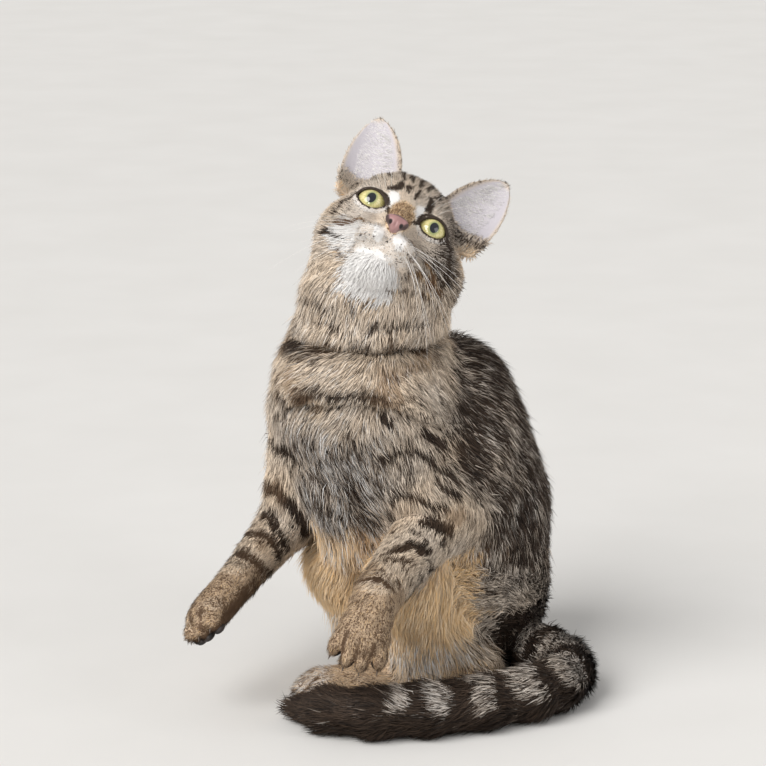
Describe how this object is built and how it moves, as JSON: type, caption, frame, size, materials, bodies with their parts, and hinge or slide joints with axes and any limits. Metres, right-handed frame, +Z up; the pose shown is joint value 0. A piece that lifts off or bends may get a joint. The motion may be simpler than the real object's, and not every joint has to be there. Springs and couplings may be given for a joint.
{
  "type": "cat",
  "caption": "Young short-haired brown tabby cat, a still life-size model that sits with its forelegs lifted, its tail curled round in front and its face turned up.",
  "frame": {"origin": "on the floor, under the middle of the cat's bounding box", "axes": "+Z up; +X to the cat's left as its face points along -Y; +Y to the back of the view"},
  "size_m": [0.2516, 0.2362, 0.3541],
  "materials": {
    "coat_grey": "short ticked fur, grey-brown with dark bars",
    "coat_brown": "short ticked fur, warm brown with dark bars",
    "coat_buff": "short buff fur with dark bars",
    "coat_orange": "soft orange-buff fur",
    "coat_dark": "dark ringed fur",
    "ear": "thin pink skin with fine pale hair",
    "eye": "wet clear cornea over a yellow-green iris",
    "nose_leather": "bare pink skin, finely grained"
  },
  "bodies": {
    "root": {"hips": "coat_grey", "chest": "coat_grey", "neck": "coat_brown", "head": "coat_brown", "ear_left": "ear", "ear_right": "ear", "eye_left": "eye", "eye_right": "eye", "nose": "nose_leather", "foreleg_left": "coat_grey", "foreleg_right": "coat_grey", "forepaw_left": "coat_buff", "forepaw_right": "coat_buff", "hindleg_left": "coat_orange", "hindleg_right": "coat_orange", "hind_foot_left": "coat_brown", "hind_foot_right": "coat_brown", "tail_1": "coat_grey", "tail_2": "coat_dark", "tail_3": "coat_dark"}
  },
  "joints": []
}
